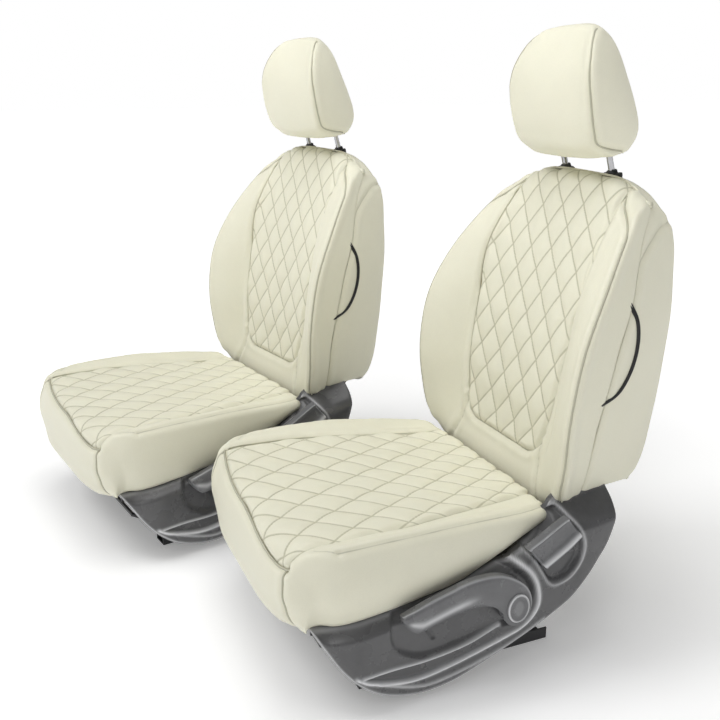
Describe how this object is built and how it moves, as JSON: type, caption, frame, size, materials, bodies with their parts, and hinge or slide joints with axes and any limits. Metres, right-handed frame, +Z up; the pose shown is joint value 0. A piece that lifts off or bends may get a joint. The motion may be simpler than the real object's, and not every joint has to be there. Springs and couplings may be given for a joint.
{
  "type": "seat cover set",
  "caption": "Front bucket seats dressed in fitted diamond-quilted leatherette covers, with reclining backs, sliding headrests, height linkages, levers and floor rails.",
  "frame": {"origin": "middle of the pair's bounding box at floor level, under the rails", "axes": "+X towards the occupants' left side, +Y to the rear, +Z up; the right seat is turned 10 degrees about Z"},
  "size_m": [1.3005, 1.0376, 1.096],
  "materials": {
    "quilted_leatherette": "ivory leatherette, satin, diamond quilting with matching thread",
    "smooth_leatherette": "ivory leatherette, satin, fine pebble grain with piped seams",
    "moulded_foam": "moulded polyurethane foam, matt",
    "grained_plastic": "dark grey moulded plastic with a fine leather grain",
    "black_plastic": "black moulded plastic, satin",
    "painted_steel": "black electrocoated pressed steel",
    "chromed_steel": "polished chrome plate"
  },
  "bodies": {
    "floor_rails": {"left_rail_lower_outer": "painted_steel", "left_rail_lower_inner": "painted_steel", "right_rail_lower_outer": "painted_steel", "right_rail_lower_inner": "painted_steel"},
    "left_slide": {"left_rail_slider_outer": "painted_steel", "left_rail_slider_inner": "painted_steel"},
    "left_front_links": {"left_lift_link_front": "painted_steel"},
    "left_rear_links": {"left_lift_link_rear": "painted_steel"},
    "left_cushion": {"left_cushion_pan": "painted_steel", "left_side_plate_outer": "painted_steel", "left_side_plate_inner": "painted_steel", "left_cushion_foam": "moulded_foam", "left_cushion_quilt_cover": "quilted_leatherette", "left_cushion_border_cover": "smooth_leatherette", "left_valance_outer": "grained_plastic", "left_valance_inner": "grained_plastic"},
    "left_height_lever": {"left_height_lever": "grained_plastic", "left_height_lever_cap": "grained_plastic"},
    "left_recline_lever": {"left_recline_lever": "grained_plastic"},
    "left_back": {"left_back_frame": "painted_steel", "left_back_foam": "moulded_foam", "left_back_quilt_cover": "quilted_leatherette", "left_back_bolster_cover": "smooth_leatherette", "left_back_rear_cover": "smooth_leatherette", "left_airbag_opening_cord": "black_plastic", "left_headrest_guide_outer": "black_plastic", "left_headrest_guide_inner": "black_plastic"},
    "left_headrest": {"left_headrest_posts": "chromed_steel", "left_headrest_foam": "moulded_foam", "left_headrest_cover": "smooth_leatherette"},
    "left_headrest_button": {"left_headrest_button": "black_plastic"},
    "left_slide_bar": {"left_slide_release_bar": "painted_steel"},
    "right_slide": {"right_rail_slider_outer": "painted_steel", "right_rail_slider_inner": "painted_steel"},
    "right_front_links": {"right_lift_link_front": "painted_steel"},
    "right_rear_links": {"right_lift_link_rear": "painted_steel"},
    "right_cushion": {"right_cushion_pan": "painted_steel", "right_side_plate_outer": "painted_steel", "right_side_plate_inner": "painted_steel", "right_cushion_foam": "moulded_foam", "right_cushion_quilt_cover": "quilted_leatherette", "right_cushion_border_cover": "smooth_leatherette", "right_valance_outer": "grained_plastic", "right_valance_inner": "grained_plastic"},
    "right_height_lever": {"right_height_lever": "grained_plastic", "right_height_lever_cap": "grained_plastic"},
    "right_recline_lever": {"right_recline_lever": "grained_plastic"},
    "right_back": {"right_back_frame": "painted_steel", "right_back_foam": "moulded_foam", "right_back_quilt_cover": "quilted_leatherette", "right_back_bolster_cover": "smooth_leatherette", "right_back_rear_cover": "smooth_leatherette", "right_airbag_opening_cord": "black_plastic", "right_headrest_guide_outer": "black_plastic", "right_headrest_guide_inner": "black_plastic"},
    "right_headrest": {"right_headrest_posts": "chromed_steel", "right_headrest_foam": "moulded_foam", "right_headrest_cover": "smooth_leatherette"},
    "right_headrest_button": {"right_headrest_button": "black_plastic"},
    "right_slide_bar": {"right_slide_release_bar": "painted_steel"}
  },
  "joints": [
    {"name": "left_fore_aft", "type": "slide", "parent": "floor_rails", "child": "left_slide", "axis": [0, 1, 0], "range_m": [-0.1, 0.1]},
    {"name": "left_height", "type": "hinge", "parent": "left_slide", "child": "left_rear_links", "pos_m": [0.3407, 0.205, 0.058], "axis": [1, 0, 0], "range_deg": [0, 35]},
    {"name": "left_cushion_level", "type": "hinge", "parent": "left_rear_links", "child": "left_cushion", "pos_m": [0.3407, 0.28227, 0.07871], "axis": [1, 0, 0], "range_deg": [-35, 0]},
    {"name": "left_front_link", "type": "hinge", "parent": "left_slide", "child": "left_front_links", "pos_m": [0.3407, -0.055, 0.058], "axis": [1, 0, 0], "range_deg": [0, 35]},
    {"name": "left_height_pump", "type": "hinge", "parent": "left_cushion", "child": "left_height_lever", "pos_m": [0.6407, 0.162, 0.15], "axis": [1, 0, 0], "range_deg": [-25, 25], "stiffness_Nm_per_rad": 6},
    {"name": "left_recline_release", "type": "hinge", "parent": "left_cushion", "child": "left_recline_lever", "pos_m": [0.6357, 0.224, 0.214], "axis": [1, 0, 0], "range_deg": [-20, 0], "stiffness_Nm_per_rad": 3, "springref_deg": 5.73},
    {"name": "left_recline", "type": "hinge", "parent": "left_cushion", "child": "left_back", "pos_m": [0.3407, 0.335, 0.274], "axis": [1, 0, 0], "range_deg": [-45, 20]},
    {"name": "left_headrest_height", "type": "slide", "parent": "left_back", "child": "left_headrest", "axis": [0, -0.2924, 0.9563], "range_m": [-0.006, 0.05]},
    {"name": "left_headrest_unlock", "type": "slide", "parent": "left_back", "child": "left_headrest_button", "axis": [-1, 0, 0], "range_m": [0, 0.003], "stiffness_N_per_m": 400, "springref_m": -0.001},
    {"name": "left_slide_release", "type": "hinge", "parent": "left_slide", "child": "left_slide_bar", "pos_m": [0.3407, -0.077, 0.04], "axis": [1, 0, 0], "range_deg": [-10, 0], "stiffness_Nm_per_rad": 12, "springref_deg": 2.86},
    {"name": "right_fore_aft", "type": "slide", "parent": "floor_rails", "child": "right_slide", "axis": [-0.1736, 0.9848, 0], "range_m": [-0.1, 0.1]},
    {"name": "right_height", "type": "hinge", "parent": "right_slide", "child": "right_rear_links", "pos_m": [-0.34075, -0.04216, 0.058], "axis": [0.9848, 0.1736, 0], "range_deg": [0, 35]},
    {"name": "right_cushion_level", "type": "hinge", "parent": "right_rear_links", "child": "right_cushion", "pos_m": [-0.35417, 0.03394, 0.07871], "axis": [0.9848, 0.1736, 0], "range_deg": [-35, 0]},
    {"name": "right_front_link", "type": "hinge", "parent": "right_slide", "child": "right_front_links", "pos_m": [-0.2956, -0.29821, 0.058], "axis": [0.9848, 0.1736, 0], "range_deg": [0, 35]},
    {"name": "right_height_pump", "type": "hinge", "parent": "right_cushion", "child": "right_height_lever", "pos_m": [-0.03784, -0.03242, 0.15], "axis": [0.9848, 0.1736, 0], "range_deg": [-25, 25], "stiffness_Nm_per_rad": 6},
    {"name": "right_recline_release", "type": "hinge", "parent": "right_cushion", "child": "right_recline_lever", "pos_m": [-0.05353, 0.02777, 0.214], "axis": [0.9848, 0.1736, 0], "range_deg": [-20, 0], "stiffness_Nm_per_rad": 3, "springref_deg": 5.73},
    {"name": "right_recline", "type": "hinge", "parent": "right_cushion", "child": "right_back", "pos_m": [-0.36332, 0.08586, 0.274], "axis": [0.9848, 0.1736, 0], "range_deg": [-45, 20]},
    {"name": "right_headrest_height", "type": "slide", "parent": "right_back", "child": "right_headrest", "axis": [0.0508, -0.2879, 0.9563], "range_m": [-0.006, 0.05]},
    {"name": "right_headrest_unlock", "type": "slide", "parent": "right_back", "child": "right_headrest_button", "axis": [-0.9848, -0.1736, 0], "range_m": [0, 0.003], "stiffness_N_per_m": 400, "springref_m": -0.001},
    {"name": "right_slide_release", "type": "hinge", "parent": "right_slide", "child": "right_slide_bar", "pos_m": [-0.29178, -0.31988, 0.04], "axis": [0.9848, 0.1736, 0], "range_deg": [-10, 0], "stiffness_Nm_per_rad": 12, "springref_deg": 2.86}
  ],
  "couplings": [
    {"joint": "left_cushion_level", "follows": "left_height", "ratio": -1},
    {"joint": "left_front_link", "follows": "left_height", "ratio": 1},
    {"joint": "right_cushion_level", "follows": "right_height", "ratio": -1},
    {"joint": "right_front_link", "follows": "right_height", "ratio": 1}
  ]
}
